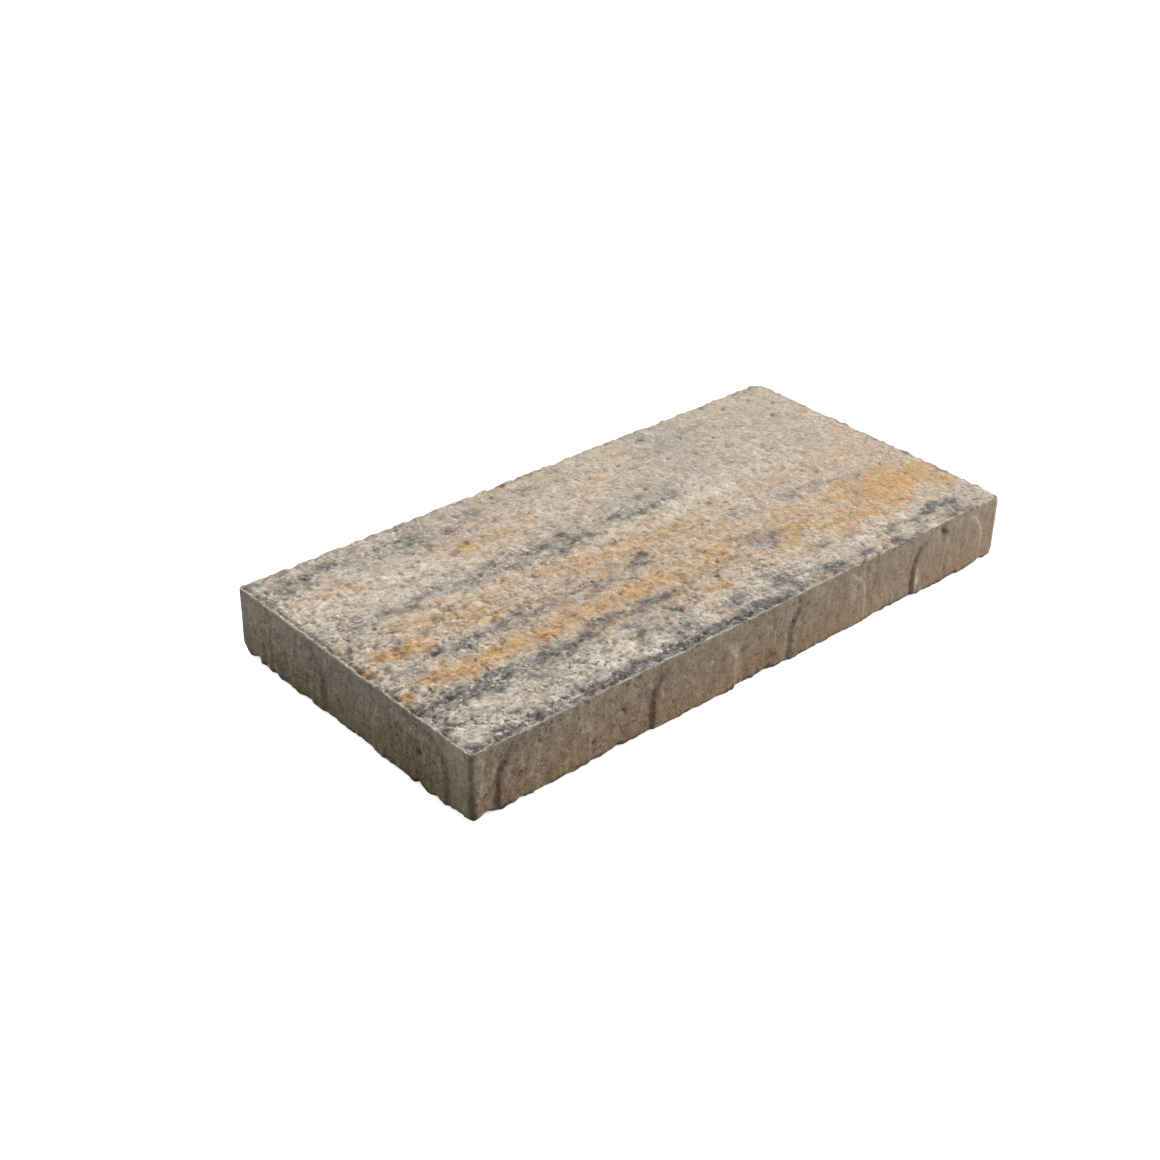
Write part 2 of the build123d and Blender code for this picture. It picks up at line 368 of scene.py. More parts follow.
ochre_streaks = [
    (-293, -15, 12, 10, 1.2), (-290, -60, 14, 12, 0.9), (-266, -8, 18, 12, 1.2), (-242, -10, 22, 13, 1.2),
    (-215, 12, 32, 15, 0.5), (-235, 20, 24, 10, 0.5), (-190, 28, 14, 8, 0.5), (-180, 0, 34, 20, 0.7),
    (-170, 20, 28, 15, 0.6), (-190, -15, 18, 10, 0.7), (-258, -52, 20, 10, 1.1), (-235, -57, 32, 13, 1.2),
    (-205, -57, 24, 13, 1.2), (-180, -55, 20, 14, 1.2), (-157, -62, 24, 15, 1.0), (-230, -68, 32, 8, 0.8),
    (-135, -55, 32, 15, 0.9), (-100, -57, 20, 10, 1.2), (-100, -84, 10, 8, 1.1), (-117, 83, 13, 24, 0.9),
    (-92, 86, 12, 10, 0.3), (-245, 92, 22, 12, 0.5), (-225, 85, 12, 10, 0.7), (-275, 95, 16, 15, 0.5),
    (-285, 25, 16, 12, 0.5), (-78, 80, 14, 12, 0.8), (-77, 68, 14, 12, 0.5), (-50, 80, 16, 8, 0.6),
    (-32, 143, 12, 6, 1.1), (-72, 130, 14, 8, 0.5), (40, 100, 16, 9, 0.7), (-60, -3, 28, 12, 0.4),
    (-30, -5, 60, 12, 0.4), (0, -8, 42, 10, 0.45), (40, -5, 24, 12, 0.5), (-65, -24, 12, 6, 0.9),
    (-22, -44, 14, 7, 0.5), (30, -55, 18, 9, 0.6), (46, -53, 15, 10, 0.9), (38, -72, 14, 8, 0.5),
    (-55, -58, 16, 12, 1.2), (-70, -60, 24, 12, 0.6), (-30, -60, 32, 12, 0.8), (-95, -55, 18, 9, 0.8),
    (0, -100, 24, 11, 1.0), (95, -85, 18, 9, 1.1), (100, -105, 14, 10, 0.7), (20, -113, 14, 8, 0.6),
    (70, -141, 18, 7, 0.8), (-95, 10, 22, 12, 0.6), (-60, 8, 14, 8, 0.5), (115, -71, 28, 12, 0.6),
    (140, -88, 16, 9, 0.9), (150, -100, 18, 9, 0.9), (240, -72, 62, 18, 1.0), (228, -52, 18, 10, 1.1),
    (285, -70, 18, 12, 1.2), (255, -48, 20, 10, 1.1), (215, -82, 28, 14, 0.9), (250, -82, 42, 14, 0.8),
    (220, -97, 28, 11, 0.9), (290, -98, 20, 14, 0.6), (165, -86, 28, 14, 0.8), (185, -95, 26, 10, 0.8),
    (185, -50, 12, 7, 0.9), (230, -28, 12, 7, 0.5), (255, -5, 26, 11, 0.5), (205, -12, 15, 8, 0.5),
    (150, 15, 15, 8, 0.5), (205, -45, 22, 9, 0.8), (222, -142, 18, 8, 0.8), (108, 102, 14, 8, 0.4),
    (125, -45, 34, 12, 0.5), (5, -70, 50, 14, 0.4), (60, -98, 34, 10, 0.3), (70, -36, 40, 12, 0.2),
    (-90, 6, 320, 48, 0.4), (-250, -10, 50, 20, 0.5), (-150, -59, 260, 30, 0.45), (45, -62, 170, 44, 0.4),
    (205, -65, 190, 62, 0.45), (240, -76, 120, 26, 0.3), (-96, 80, 60, 36, 0.25), (60, -4, 140, 24, 0.15),
    (-165, -16, 26, 12, 0.5), (-125, -30, 26, 12, 0.4), (-50, -25, 240, 36, 0.3), (-145, 80, 26, 26, 0.4),
    (-28, -115, 36, 46, 0.3), (150, -135, 30, 16, 0.4), (200, -112, 190, 16, 0.2),
    (215, -2, 110, 16, 0.25), (60, 95, 170, 60, 0.2), (-190, 95, 190, 50, 0.25), (-75, -84, 180, 26, 0.3),
    (-266, -50, 18, 10, 0.6), (-118, 90, 12, 18, 0.4), (-296, -16, 10, 14, 0.8), (50, -20, 30, 18, 0.3),
    (-60, -106, 80, 16, 0.3), (283, -94, 24, 14, 0.6), (-120, -80, 60, 12, 0.3), (240, -62, 90, 10, 0.8),
]
cream_streaks = [
    (-230, -107, 70, 16, 1.2), (-285, -120, 24, 12, 1.0), (-270, -133, 54, 9, 1.0),
    (-150, -118, 64, 16, 1.0), (-110, -120, 44, 16, 1.0), (-210, 85, 34, 14, 0.8),
    (-250, 70, 64, 20, 1.0), (-285, 60, 18, 28, 0.9), (-285, -22, 18, 16, 0.8), (-30, -112, 34, 14, 0.9),
    (-90, -118, 16, 10, 1.2), (-75, -108, 34, 14, 1.0), (100, 20, 34, 14, 0.9), (70, 20, 30, 12, 0.8),
    (60, -133, 24, 9, 0.8), (110, 30, 34, 16, 0.8), (140, -134, 16, 11, 0.9), (190, -138, 24, 10, 0.9),
    (-150, 75, 60, 22, 0.6), (0, 85, 80, 26, 0.4), (-120, -5, 50, 14, 0.6), (40, 10, 60, 10, 0.7),
    (190, -110, 40, 10, 0.6), (200, 60, 120, 60, 0.3), (-160, -114, 280, 40, 0.8),
    (-245, 88, 110, 44, 0.6), (-130, 70, 200, 30, 0.4), (118, 22, 90, 40, 0.6), (230, -148, 150, 5, 0.8),
    (60, -125, 120, 30, 0.4), (180, -112, 160, 36, 0.5), (-185, 10, 28, 34, 0.9), (-275, 20, 26, 22, 0.6),
    (-278, 108, 30, 14, 0.7), (-250, 64, 16, 10, 0.5), (-200, 72, 14, 30, 0.5), (-168, 44, 26, 8, 0.5),
    (-5, 53, 30, 12, 0.6), (108, 42, 24, 28, 0.7), (60, 116, 20, 42, 0.6), (-20, 108, 24, 20, 0.5),
    (-55, 136, 20, 14, 0.4), (-25, 8, 26, 22, 0.6), (50, -32, 22, 22, 0.5), (26, -112, 20, 20, 0.7),
    (-10, -131, 16, 7, 0.5), (142, -128, 20, 24, 0.7), (225, -118, 44, 10, 0.5), (262, -87, 52, 12, 0.7),
    (-110, 12, 30, 24, 0.5), (130, -30, 50, 30, 0.4), (-268, -52, 26, 14, 0.6), (-186, 8, 24, 38, 1.1),
    (-163, -22, 22, 12, 1.0), (-72, -33, 20, 12, 1.0), (-284, -32, 26, 30, 0.9), (-250, 66, 26, 14, 1.0),
    (-202, 62, 16, 30, 0.8), (-213, 110, 36, 16, 0.8), (-142, 81, 34, 20, 0.7), (-14, 28, 70, 30, 0.5),
    (110, 33, 40, 16, 1.0), (166, 23, 20, 10, 0.7), (200, 14, 40, 14, 0.6), (138, -137, 14, 12, 1.0),
    (54, -114, 12, 20, 0.8), (-220, -134, 26, 10, 0.8), (-130, -86, 18, 12, 0.5), (20, 12, 170, 26, 0.5),
    (-275, 18, 22, 14, 0.7), (-280, 108, 22, 10, 0.6), (35, 30, 16, 8, 0.5), (-12, -62, 16, 10, 0.5),
    (12, -92, 18, 10, 0.6), (108, -137, 12, 8, 0.6), (-262, -95, 18, 8, 0.5), (-190, 12, 60, 22, 0.9),
    (-105, 8, 26, 20, 0.6), (-20, -26, 26, 18, 0.7), (45, -12, 30, 16, 0.5), (-262, -8, 30, 24, 0.5),
    (-270, -62, 30, 12, 0.6), (45, 112, 60, 24, 0.6), (-156, -95, 20, 14, 0.7), (108, -124, 24, 26, 0.6),
    (-80, 32, 60, 14, 0.4), (-290, -125, 14, 20, 0.6),
]
grey_washes = [
    (-190, 118, 230, 46, 0.9), (-190, 40, 220, 28, 0.6), (10, 42, 200, 30, 0.6), (30, 120, 160, 50, 0.15),
    (-190, -28, 170, 20, 0.6), (-240, -85, 130, 22, 0.8), (0, -132, 620, 22, 0.5), (160, 45, 70, 30, 0.5),
    (150, -30, 90, 20, 0.5), (230, 110, 150, 60, 0.3), (-297, 0, 10, 300, 0.7),
    (-150, -120, 340, 46, 0.8), (140, 114, 60, 90, 0.9), (-95, 93, 26, 14, 0.6), (80, 84, 40, 30, 0.4),
    (258, 36, 38, 30, 0.6), (250, 88, 32, 16, 0.5), (-291, 52, 22, 30, 0.7), (-291, 130, 20, 24, 0.7),
    (75, -66, 54, 28, 0.6), (222, -40, 50, 24, 0.8), (-85, -105, 70, 50, 0.9), (120, 66, 24, 20, 0.5),
    (-250, -126, 110, 50, 0.7), (34, 57, 36, 16, 0.8), (-80, 51, 18, 12, 0.7), (-288, 46, 24, 16, 0.8),
    (60, 45, 90, 40, 0.5),
]

full_cover = 0.72  # the share of grains that a streak of strength 1 takes at its middle


def streak_cover(streaks, seed):
    """How much of a pigment is at each point: what all its streaks together leave bare, from 1. A
    streak is a bell that falls with the distance from its middle, counted in half lengths along and
    half widths across, and the places are shifted by noise first, which makes its outline ragged."""
    moved_x = sharp_x + 6 * lattice_noise(sharp, 13, seed) + 4 * lattice_noise(sharp, 4.5, seed + 1)
    moved_y = sharp_y + 4 * lattice_noise(sharp, 13, seed + 2) + 3.2 * lattice_noise(sharp, 4.5, seed + 3)
    bare = np.ones(len(sharp))
    for place_x, place_y, length, width, strength in streaks:
        apart = ((moved_x - place_x) / (length / 2)) ** 2 + ((moved_y - place_y) / (width / 2)) ** 2
        bare *= 1 - full_cover * strength * np.exp(-0.7 * apart)
    return 1 - bare


def set_point_colour(name, red, green, blue):
    """Keeps three values for each point of the slab as the colour attribute of that name."""
    values = np.column_stack([red, green, blue, np.ones(len(red))]).astype(np.float32)
    slab_mesh.attributes.new(name, "FLOAT_COLOR", "POINT").data.foreach_set("color", values.ravel())


set_point_colour(
    "pigment",
    streak_cover(charcoal_streaks, 51),
    streak_cover(ochre_streaks, 61),
    streak_cover(cream_streaks, 71),
)

# A grey wash, then painted shade in the hollows, pits and crumbled rims, and last the arris, pale
# paste with a painted highlight where it is whole
hollow_shade = smooth_step(0.8, 1.9, face_drop - corner_drop + gutter) * smooth_step(2.5, 0.5, rim_depth)
crumbled_rim_shade = near_rim * lip * smooth_step(2.6, 1.2, depth)
crumbled_rim_shade *= smooth_step(-0.5, 0.3, lattice_noise(sharp, 4.2, 28))
hollow_shade = np.maximum(hollow_shade, 0.75 * crumbled_rim_shade)
arris_pale_and_lit = smooth_step(1.9, 0.7, depth * (1 + 0.7 * firm_rim)) * smooth_step(1.4, 0.6, inset)
arris_pale_and_lit *= smooth_step(-0.5, 0.1, lattice_noise(sharp, 8, 81))
arris_pale_and_lit *= smooth_step(-0.7, 0.1, lattice_noise(sharp, 3, 82))
arris_pale_and_lit *= smooth_step(90, -20, sharp_x)
set_point_colour("wash_shade_and_lit_arris", streak_cover(grey_washes, 91), np.maximum(hollow_shade, pit_shade), arris_pale_and_lit)

# The marks on the sides: lime that has run down in places, with painted highlights among its runs,
# and painted shade in the pads' feet and up the near corner, with how far up a pad each point is
# Runs at 189 and 31 are painted light: a highlight on a pad's lit edge, and light on a flank's shadow
lime_runs_and_highlights = [  # place along the near long side, height, width, length, strength
    (-238, 22, 12, 30, 0.35), (-194, 32, 5, 28, 0.6), (-31, 38, 5, 24, 0.6), (107, 32, 8, 28, 0.7),
    (189, 17, 5.5, 26, 1.8), (267, 44, 8, 30, 0.4), (-292, 36, 8, 40, 0.4), (119, 34, 4, 40, 0.4),
    (150, 12, 80, 26, 0.3), (120, 8, 30, 12, 0.3), (31, 25, 7, 60, 0.55),
]
lime_and_highlight = np.zeros(len(sharp))
for place, height, width, length, strength in lime_runs_and_highlights:
    apart = ((sharp_x - place) / (width / 2)) ** 2 + ((sharp_z - height) / (length / 2)) ** 2
    lime_and_highlight = np.maximum(lime_and_highlight, strength * np.exp(-apart) * near_long_side)
lime_and_highlight *= 0.7 + 0.45 * lattice_noise(sharp, (2.4, 2.4, 7), 95)
# Painted shade lies on the flanks that face the near corner, away from the lights, less towards the
# right, and as a broken line on those that face away
foot_width = np.interp(sharp_x, [-298, -270, -200], [2.6, 3.6, 2.6])
near_foot = np.exp(-(((arch_distance(across, sharp_z, pad_foot) + 1.6) / foot_width) ** 2))
facing_corner = np.interp(sharp_x, [-300, -200, -120, 30, 190], [0.65, 1.0, 0.5, 0.0, 0.15])
facing_corner *= smooth_step(14, -18, across) * np.interp(sharp_z, [25, 52], [1.0, 1.35])
facing_corner *= np.maximum(smooth_step(120, 60, sharp_x), smooth_step(18, 36, sharp_z))
broken = 0.7 * smooth_step(-0.2, 0.4, lattice_noise(sharp, 11, 97))
facing_corner = np.maximum(facing_corner, broken * smooth_step(10, 30, across))
# Painted shade also runs up the near corner, which faces away from every light
corner_shade = np.exp(-(np.hypot(sharp_x + half[0], sharp_y + half[1]) / 2.8) ** 2)
painted_foot_shade = np.maximum(near_foot * facing_corner, 1.4 * corner_shade) * smooth_step(0.5, 3, depth)
painted_foot_shade *= 0.85 + 0.3 * lattice_noise(sharp, (3, 3, 9), 96)
set_point_colour("marks_and_shade", np.clip(lime_and_highlight, 0, 1), np.clip(painted_foot_shade, 0, 1), pad_share)


def linear(hex_colour):
    """An sRGB hex colour as the linear numbers that a shader takes."""
    parts_of_one = np.array([int(hex_colour[at : at + 2], 16) for at in (1, 3, 5)]) / 255
    low_part, curve = parts_of_one / 12.92, ((parts_of_one + 0.055) / 1.055) ** 2.4
    return (*np.where(parts_of_one <= 0.04045, low_part, curve), 1.0)


def add_node(tree, kind, settings, inputs):
    """Adds a node of that kind with its settings. Each input is a value, or the socket that feeds it.
    Gives the node's outputs."""
    node = tree.nodes.new("ShaderNode" + kind)
    for name, value in settings.items():
        setattr(node, name, value)
    for name, value in inputs.items():
        if isinstance(value, bpy.types.NodeSocket):
            tree.links.new(value, node.inputs[name])
        else:
            node.inputs[name].default_value = value
    return node.outputs


def start_concrete(name, first, second):
    """An empty material with the slab's place in millimetres, and two of its attributes split."""
    material = bpy.data.materials.new(name)
    material.use_nodes = True
    tree = material.node_tree
    tree.nodes.clear()
    place = add_node(tree, "TexCoord", {}, {})["Object"]
    place = add_node(tree, "VectorMath", {"operation": "SCALE"}, {0: place, "Scale": 1000.0})[0]
    split = []
    for attribute in (first, second):
        kept = add_node(tree, "Attribute", {"attribute_name": attribute}, {})["Color"]
        split.append(add_node(tree, "SeparateColor", {}, {"Color": kept}))
    return material, tree, place, *split


def finish_concrete(tree, colour, normal, roughness):
    """Dry concrete's shader: hardly any gloss, with the colour and the bump worked out before."""
    shader = add_node(tree, "BsdfPrincipled", {}, {
        "Base Color": colour, "Normal": normal, "Roughness": roughness,
        "IOR": 1.5, "Specular IOR Level": 0.3,
    })[0]
    add_node(tree, "OutputMaterial", {}, {"Surface": shader})


# Pressed face concrete, washed so that the grains stand open: crushed sand of 1 to 3 mm, each grain
# its own tone, bound by pigmented cement. The eye gets a crumbly, matt, salt-and-pepper surface.
face_material, tree, place, pigment, wash_shade_and_lit_arris = start_concrete("streaked_face_concrete", "pigment", "wash_shade_and_lit_arris")
grain_size, chip_size = 2.6, 4.2  # millimetres, as are all these sizes
fine_size = 1.2  # the finest sand is under 1 mm, and is drawn a little coarser so that it shows
speck_size, clump_size, cloud_size, patch_size = 4.6, 6.5, 13.0, 17.0
smear_size = (16.0, 8.0, 8.0)


def level(tree, *factors):
    """A level at each place of the surface: the product of its factors. A factor is a number, a
    socket, or an S-curve, given as the value it follows, where it starts and ends, and its levels
    there if they aren't 0 and 1."""
    product = None
    for factor in factors:
        if isinstance(factor, tuple):
            value, start, end, *levels = factor
            low, high = levels or (0.0, 1.0)
            factor = add_node(tree, "MapRange", {"interpolation_type": "SMOOTHSTEP"}, {
                "Value": value, "From Min": start, "From Max": end, "To Min": low, "To Max": high,
            })[0]
        if product is None:
            product = factor
        else:
            product = add_node(tree, "Math", {"operation": "MULTIPLY"}, {0: product, 1: factor})[0]
    return product


def laid_over(tree, colour, tint, *factors):
    """The colour with the tint laid over it, as far as the level of those factors covers it."""
    share = level(tree, *factors)
    return add_node(tree, "Mix", {"data_type": "RGBA"}, {0: share, 6: colour, 7: tint})[2]


def shaken(tree, amount, terms):
    """The amount moved up or down by each term, a noise of middle value 0.5, times its weight."""
    for term, weight in terms:
        amount = add_node(tree, "Math", {"operation": "MULTIPLY_ADD"}, {0: term, 1: weight, 2: amount})[0]
    middle = sum(weight for term, weight in terms) / 2
    return add_node(tree, "Math", {"operation": "SUBTRACT"}, {0: amount, 1: middle})[0]


grain = add_node(tree, "TexVoronoi", {}, {"Vector": place, "Scale": 1 / grain_size})
grain_tone = add_node(tree, "SeparateColor", {}, {"Color": grain["Color"]})
fine = add_node(tree, "TexNoise", {}, {"Vector": place, "Scale": 1 / fine_size, "Detail": 2.0})["Fac"]
# Four sizes of cloud, each half of the last, down to the single grain and nearly as strong
cloud = add_node(tree, "TexNoise", {}, {
    "Vector": place, "Scale": 1 / cloud_size, "Detail": 2.8, "Roughness": 0.85,
})["Fac"]
stretched = add_node(tree, "VectorMath", {"operation": "DIVIDE"}, {0: place, 1: smear_size})[0]
smear = add_node(tree, "TexNoise", {}, {"Vector": stretched, "Scale": 1.0, "Detail": 2.5})
smear = add_node(tree, "SeparateColor", {}, {"Color": smear["Color"]})
chip = add_node(tree, "TexVoronoi", {}, {"Vector": place, "Scale": 1 / chip_size})
chip_tone = add_node(tree, "SeparateColor", {}, {"Color": chip["Color"]})
patch = add_node(tree, "TexNoise", {}, {"Vector": place, "Scale": 1 / patch_size, "Detail": 2.0})["Fac"]
clump = add_node(tree, "TexNoise", {}, {"Vector": place, "Scale": 1 / clump_size, "Detail": 1.5})
clump = add_node(tree, "SeparateColor", {}, {"Color": clump["Color"]})
speck = add_node(tree, "TexNoise", {}, {"Vector": place, "Scale": 1 / speck_size, "Detail": 2.5})
speck = add_node(tree, "SeparateColor", {}, {"Color": speck["Color"]})

# Each pigment lies in smears and clumps with ragged borders: grey wash, cream, ochre, then charcoal
colour = linear("#C0AF9A")
for cover, channel, speckled, start, end, tint in (
    (wash_shade_and_lit_arris["Red"], "Red", 0.5, 0.0, 0.9, "#A59D94"),
    (pigment["Blue"], "Blue", 0.5, 0.0, 0.9, "#D1C3B0"),
    (pigment["Green"], "Green", 0.4, 0.0, 0.88, "#C59D6D"),
    (pigment["Red"], "Red", 0.55, 0.05, 0.8, "#656260"),
):
    ragged_cover = shaken(tree, cover, [(smear[channel], 1.0), (clump[channel], speckled)])
    colour = laid_over(tree, colour, linear(tint), (ragged_cover, start, end))
# The arris: pale paste with a painted highlight along the rim
colour = laid_over(tree, colour, linear("#C5BAA9"), wash_shade_and_lit_arris["Blue"])

# The grain is boldest at the near left corner, and comes in patches where the paste stayed open
spot = add_node(tree, "SeparateXYZ", {}, {"Vector": place})
corner_ward = add_node(tree, "Math", {"operation": "MULTIPLY_ADD"}, {0: spot["Y"], 1: 0.8, 2: spot["X"]})[0]
contrast = add_node(tree, "MapRange", {}, {
    "Value": corner_ward, "From Min": -420.0, "From Max": 420.0, "To Min": 0.86, "To Max": 0.24,
})[0]
open_patch = level(
    tree, contrast, (patch, 0.36, 0.64, 0.5, 1.5), (pigment["Green"], 0.0, 0.8, 1.0, 0.6)
)
contrast = level(tree, contrast, (pigment["Green"], 0.0, 0.8, 1.0, 0.8))
uneven = shaken(tree, 0.0, [(cloud, 3.1), (grain_tone["Red"], 0.5), (chip_tone["Red"], 0.5), (fine, 0.4)])
swing = add_node(tree, "Math", {"operation": "MULTIPLY_ADD"}, {0: uneven, 1: contrast, 2: 0.03})[0]
deepest_swing = -0.65
swing = add_node(tree, "Math", {"operation": "MAXIMUM"}, {0: swing, 1: deepest_swing})[0]
grey_share = 0.4  # of each swing, so that depths keep their colour and heights pale
swung = laid_over(tree, colour, linear("#A9A9A9"), grey_share)
swung = add_node(tree, "VectorMath", {"operation": "SCALE"}, {0: swung, "Scale": swing})[0]
colour = add_node(tree, "VectorMath", {"operation": "ADD"}, {0: colour, 1: swung})[0]
darkest = linear("#272421")[:3]
colour = add_node(tree, "VectorMath", {"operation": "MAXIMUM"}, {0: colour, 1: darkest})[0]

# Bare stones, from dark basalt to pale limestone, stand in the pigmented paste, with ragged pale
# grains between them, and painted shade for the dark holes. The oxide pastes cling, so fewer of
# their stones are bare
bare_stone = level(
    tree, open_patch, (pigment["Green"], 0.0, 0.8, 1.0, 0.35), (pigment["Red"], 0.0, 0.8, 1.0, 0.7)
)
for stone, stone_tone, channel, hold in (
    (chip, chip_tone, "Green", 0.5),
    (grain, grain_tone, "Blue", 0.35),
):
    basalt, limestone = linear("#4A443E"), linear("#E6DCCD")
    stone_colour = laid_over(tree, basalt, limestone, (stone_tone[channel], 0.0, 0.75))
    colour = laid_over(tree, colour, stone_colour, (stone["Distance"], 0.62, 0.2), bare_stone, hold)
colour = laid_over(tree, colour, linear("#E9DFD0"), (speck["Green"], 0.56, 0.68), bare_stone, 0.9)
# Painted shade in the holes between the grains
hole_shade = level(tree, (speck["Red"], 0.55, 0.68), (spot["Y"], -20.0, 70.0, 0.75, 0.45), open_patch)
colour = laid_over(tree, colour, linear("#52453A"), hole_shade)
# Painted shade in the hollows, pits and crumbled rims
shade_in_hollows = level(tree, (wash_shade_and_lit_arris["Green"], 0.0, 1.0, 1.0, 0.5))
colour = add_node(tree, "VectorMath", {"operation": "SCALE"}, {0: colour, "Scale": shade_in_hollows})[0]
dome = add_node(tree, "Math", {"operation": "MULTIPLY_ADD"}, {0: grain["Distance"], 1: -0.8, 2: fine})[0]
dome = add_node(tree, "Math", {"operation": "MULTIPLY_ADD"}, {0: chip["Distance"], 1: -1.2, 2: dome})[0]
bump = add_node(tree, "Bump", {}, {"Height": dome, "Strength": 0.7, "Distance": 0.0007})[0]
rough = level(tree, (fine, 0.0, 1.0, 0.8, 0.98))
finish_concrete(tree, colour, bump, rough)

# Backing concrete, rubbed smooth by the mould's wall as the slab is pushed out: tan-brown paste with
# sand showing through, upright drag marks, lime bloom and a pale arris where the paste is richest,
# with a painted highlight along it.
side_material, tree, place, marks_and_shade, wash_shade_and_lit_arris = start_concrete("moulded_side_concrete", "marks_and_shade", "wash_shade_and_lit_arris")
sand_size, pinhole_size, mottle_size = 1.9, 3.4, 10.0  # millimetres
drag_size = (5.0, 5.0, 22.0)
sand = add_node(tree, "TexVoronoi", {}, {"Vector": place, "Scale": 1 / sand_size})
sand_tone = add_node(tree, "SeparateColor", {}, {"Color": sand["Color"]})
fine = add_node(tree, "TexNoise", {}, {"Vector": place, "Scale": 1 / fine_size, "Detail": 2.0})["Fac"]
mottle = add_node(tree, "TexNoise", {}, {"Vector": place, "Scale": 1 / mottle_size, "Detail": 3.0})["Fac"]
dragged = add_node(tree, "VectorMath", {"operation": "DIVIDE"}, {0: place, 1: drag_size})[0]
drag = add_node(tree, "TexNoise", {}, {"Vector": dragged, "Scale": 1.0, "Detail": 2.0})["Fac"]
speck = add_node(tree, "TexNoise", {}, {"Vector": place, "Scale": 1 / pinhole_size, "Detail": 2.5})
speck = add_node(tree, "SeparateColor", {}, {"Color": speck["Color"]})
spot = add_node(tree, "SeparateXYZ", {}, {"Vector": place})
colour = laid_over(tree, linear("#A98F74"), linear("#A5927E"), (spot["Z"], 5.0, 52.0))

# The left end is greyer above, and browner and darker towards its foot, most where a stain has spread
left_end = level(tree, (spot["X"], -292.0, -297.0))
colour = laid_over(tree, colour, linear("#A99D8E"), left_end, 0.85)
stained = level(tree, (spot["Y"], -35.0, -60.0), (spot["Y"], -160.0, -100.0), (spot["Z"], 52.0, 38.0))
colour = laid_over(tree, colour, linear("#957B57"), stained, left_end, 0.55)
colour = laid_over(tree, colour, linear("#86735A"), (spot["Z"], 50.0, 5.0), left_end, 0.75)
# It is smoother and paler off its pads, and palest by the near corner
smoother = level(tree, left_end, (marks_and_shade["Blue"], 1.0, 0.0))
colour = laid_over(tree, colour, linear("#ADA08D"), smoother, 0.3)
near_end = level(tree, left_end, (spot["Y"], -90.0, -140.0), (spot["Z"], 15.0, 50.0, 0.5, 1.0))
colour = laid_over(tree, colour, linear("#C2B299"), near_end, 0.9)
# The two far sides are greyer and a little darker: painted shade that tones down the key light on them
far_sides = add_node(tree, "Math", {"operation": "MAXIMUM"}, {
    0: level(tree, (spot["X"], 292.0, 297.0)), 1: level(tree, (spot["Y"], 142.0, 147.0)),
})[0]
colour = laid_over(tree, colour, linear("#978E82"), far_sides, 0.7)

# Lime bloom on the drag marks, then painted shade, lime runs with painted highlights, and the arris
blooming = shaken(tree, drag, [(sand_tone["Green"], 0.3)])
colour = laid_over(tree, colour, linear("#C2B8A8"), (blooming, 0.6, 0.85, 0.0, 0.4))
# Painted shade in the pads' feet and up the near corner
colour = laid_over(tree, colour, linear("#6A5C4D"), marks_and_shade["Green"], 0.55)
# The lime runs, with the painted highlight and painted light among them
colour = laid_over(tree, colour, linear("#D2C8B8"), marks_and_shade["Red"], 0.8)
# The arris: pale paste with a painted highlight along it
colour = laid_over(tree, colour, linear("#CBC0AF"), wash_shade_and_lit_arris["Blue"])

# The grit shows more towards the left, as light and dark, as pinholes of painted shade and as pale
# sand, and the hollows get painted shade too
grit = add_node(tree, "MapRange", {}, {
    "Value": spot["X"], "From Min": -300.0, "From Max": 300.0, "To Min": 1.08, "To Max": 0.46,
})[0]
grit = level(tree, grit, (smoother, 0.0, 1.0, 1.0, 0.75))
uneven = shaken(tree, 0.0, [(drag, 0.75), (mottle, 0.9), (sand_tone["Red"], 0.4), (fine, 1.0)])
tone = add_node(tree, "Math", {"operation": "MULTIPLY_ADD"}, {0: uneven, 1: grit, 2: 1.0})[0]
pinhole_shade = level(tree, (speck["Red"], 0.57, 0.7), grit)
tone = level(tree, tone, (pinhole_shade, 0.0, 1.0, 1.0, 0.5), (wash_shade_and_lit_arris["Green"], 0.0, 1.0, 1.0, 0.5))
colour = laid_over(tree, colour, linear("#CDBFA9"), (speck["Green"], 0.6, 0.72), grit, 0.45)
colour = add_node(tree, "VectorMath", {"operation": "SCALE"}, {0: colour, "Scale": tone})[0]
# Darker in a ragged band along the bed
dark_bed_band = shaken(tree, spot["Z"], [(mottle, 9.0), (fine, 12.0)])
colour = laid_over(tree, colour, linear("#4A4038"), (dark_bed_band, 4.5, 0.5, 0.0, 0.8))
bump = add_node(tree, "Bump", {}, {"Height": fine, "Strength": 0.6, "Distance": 0.0006})[0]
rough = level(tree, (fine, 0.0, 1.0, 0.75, 0.95))
finish_concrete(tree, colour, bump, rough)

slab_mesh.materials.append(face_material)
slab_mesh.materials.append(side_material)
material_number = np.ones(len(slab_mesh.polygons), np.int32)
material_number[: len(parts["face"])] = 0
slab_mesh.polygons.foreach_set("material_index", material_number)


# The studio: a white table much wider than the picture, a pale sky, and soft light from behind, from
# the right and from the far left, which grazes the sides, so that their pads throw small shadows.
floor_reach = 12.0
floor_corners = [(-1, -1), (1, -1), (1, 1), (-1, 1)]
floor_mesh = bpy.data.meshes.new("floor")
floor_points = [(x * floor_reach, y * floor_reach, 0) for x, y in floor_corners]
floor_mesh.from_pydata(floor_points, [], [(0, 1, 2, 3)])
floor_paint = bpy.data.materials.new("white_table_paint")
floor_paint.use_nodes = True
tree = floor_paint.node_tree
seen = add_node(tree, "LightPath", {}, {})["Is Camera Ray"]
floor_shader = tree.nodes["Principled BSDF"].inputs
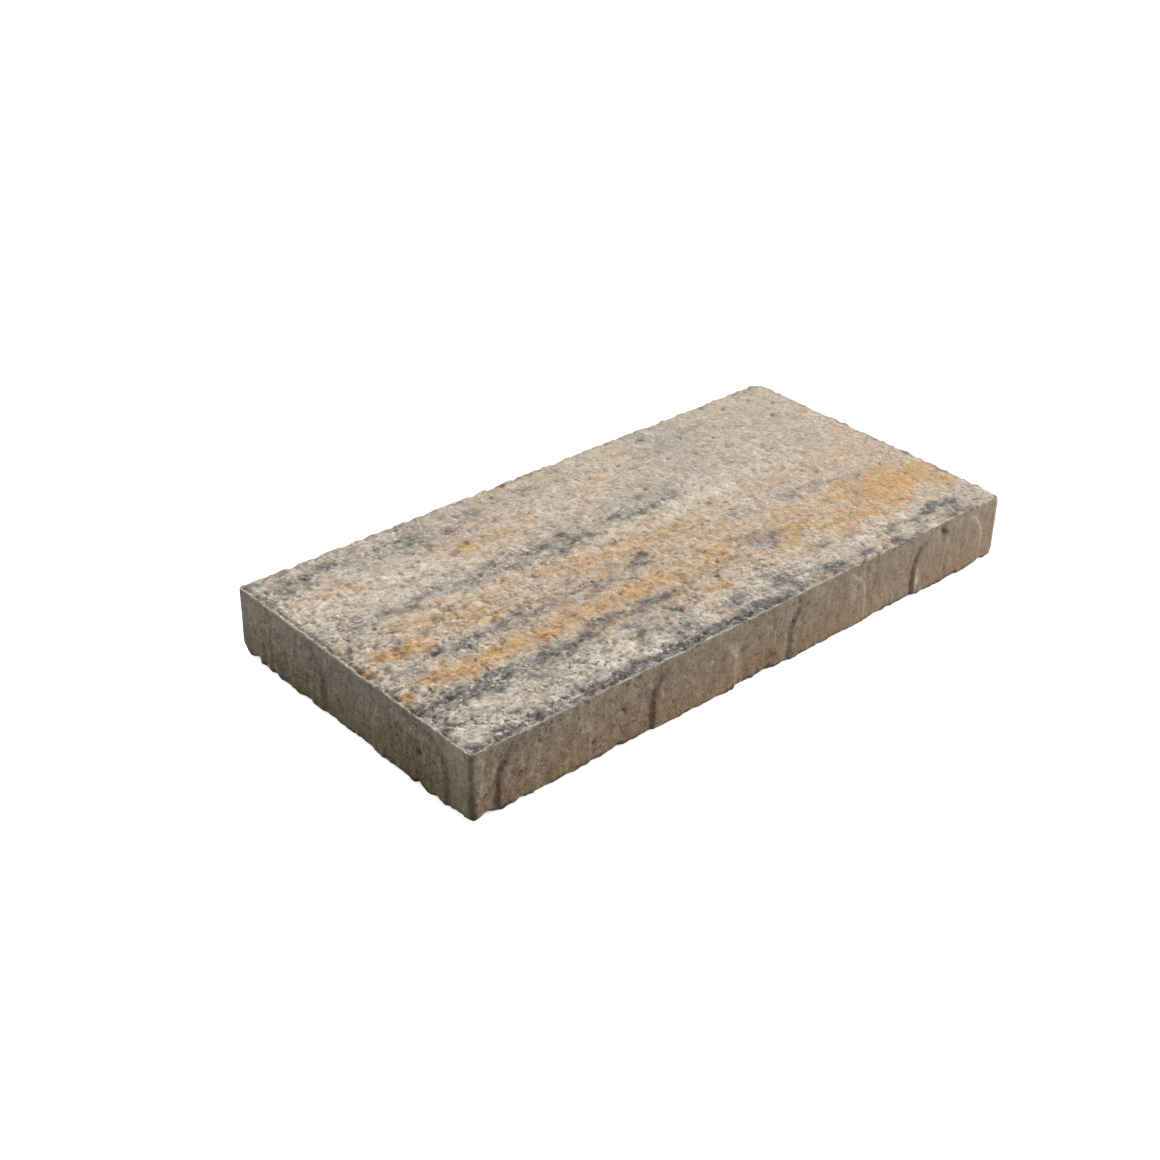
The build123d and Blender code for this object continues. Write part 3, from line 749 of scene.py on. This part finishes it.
# The table is white to the eye, but throws back less light, as a black cloth round a shoot would do
tree.links.new(laid_over(tree, linear("#9A9A98"), linear("#FCFCFB"), seen), floor_shader["Base Color"])
floor_shader["Emission Color"].default_value = linear("#FFFFFF")
tree.links.new(level(tree, (seen, 0.0, 1.0, 0.0, 0.72)), floor_shader["Emission Strength"])
floor_shader["Roughness"].default_value = 0.9
floor_shader["Specular IOR Level"].default_value = 0.0
floor_mesh.materials.append(floor_paint)
floor = bpy.data.objects.new("floor", floor_mesh)
bpy.context.scene.collection.objects.link(floor)

world = bpy.data.worlds.new("studio")
world.use_nodes = True
sky = world.node_tree.nodes["Background"].inputs
tree = world.node_tree
seen = add_node(tree, "LightPath", {}, {})["Is Camera Ray"]
sky["Color"].default_value = linear("#F7F8FA")
tree.links.new(level(tree, (seen, 0.0, 1.0, 0.29, 1.12)), sky["Strength"])
bpy.context.scene.world = world


def aim(light, towards, place):
    """Puts a light at a place, its beam running against the direction towards it."""
    beam = np.array(towards) / np.linalg.norm(towards)
    side = np.cross([0, 0, 1], beam)
    side /= np.linalg.norm(side)
    turned = np.column_stack([side, np.cross(beam, side), beam, place])
    light.matrix_world = Matrix([*turned.tolist(), [0, 0, 0, 1]])


key_data = bpy.data.lights.new("key_light", "SUN")
key_data.energy = 2.0
key_data.angle = math.radians(40)
key = bpy.data.objects.new("key_light", key_data)
bpy.context.scene.collection.objects.link(key)
aim(key, (0.35, 0.6, 0.75), (0, 0, 2))

softboxes = {  # place, width, power in watts
    "right_softbox": ((2.2, -0.86, 0.49), 0.49, 59),
    "far_left_softbox": ((-0.6, 1.4, 0.5), 0.8, 10),
}
for name, (place, width, power) in softboxes.items():
    softbox_data = bpy.data.lights.new(name, "AREA")
    softbox_data.size = width
    softbox_data.energy = power
    softbox = bpy.data.objects.new(name, softbox_data)
    bpy.context.scene.collection.objects.link(softbox)
    aim(softbox, place, place)

# The camera: a short telephoto on a stand, looking down on the slab's near corner. Its place is
# an angle round the slab, a height angle, a distance and a small aim beside the slab's middle.
image_side = 1160
focal_length = 1893.9 / image_side  # in widths of the picture
azimuth, elevation, roll = math.radians(-42.09), math.radians(31.34), math.radians(-1.18)
camera_distance = 1.6026
aim_right, aim_down = 0.0481, -0.0095
slab_middle = np.array([0, 0, 0.03])

back = np.array([
    math.sin(azimuth) * math.cos(elevation),
    -math.cos(azimuth) * math.cos(elevation),
    math.sin(elevation),
])
level_right = np.cross(-back, [0, 0, 1])
level_right /= np.linalg.norm(level_right)
level_down = np.cross(-back, level_right)
right = math.cos(roll) * level_right + math.sin(roll) * level_down
down = math.cos(roll) * level_down - math.sin(roll) * level_right
stand = slab_middle + camera_distance * back - aim_right * right - aim_down * down

camera_data = bpy.data.cameras.new("camera")
camera_data.sensor_width = 36
camera_data.lens = camera_data.sensor_width * focal_length
camera = bpy.data.objects.new("camera", camera_data)
bpy.context.scene.collection.objects.link(camera)
camera.matrix_world = Matrix([*np.column_stack([right, -down, back, stand]).tolist(), [0, 0, 0, 1]])
bpy.context.scene.camera = camera
bpy.context.scene.view_settings.view_transform = "Standard"
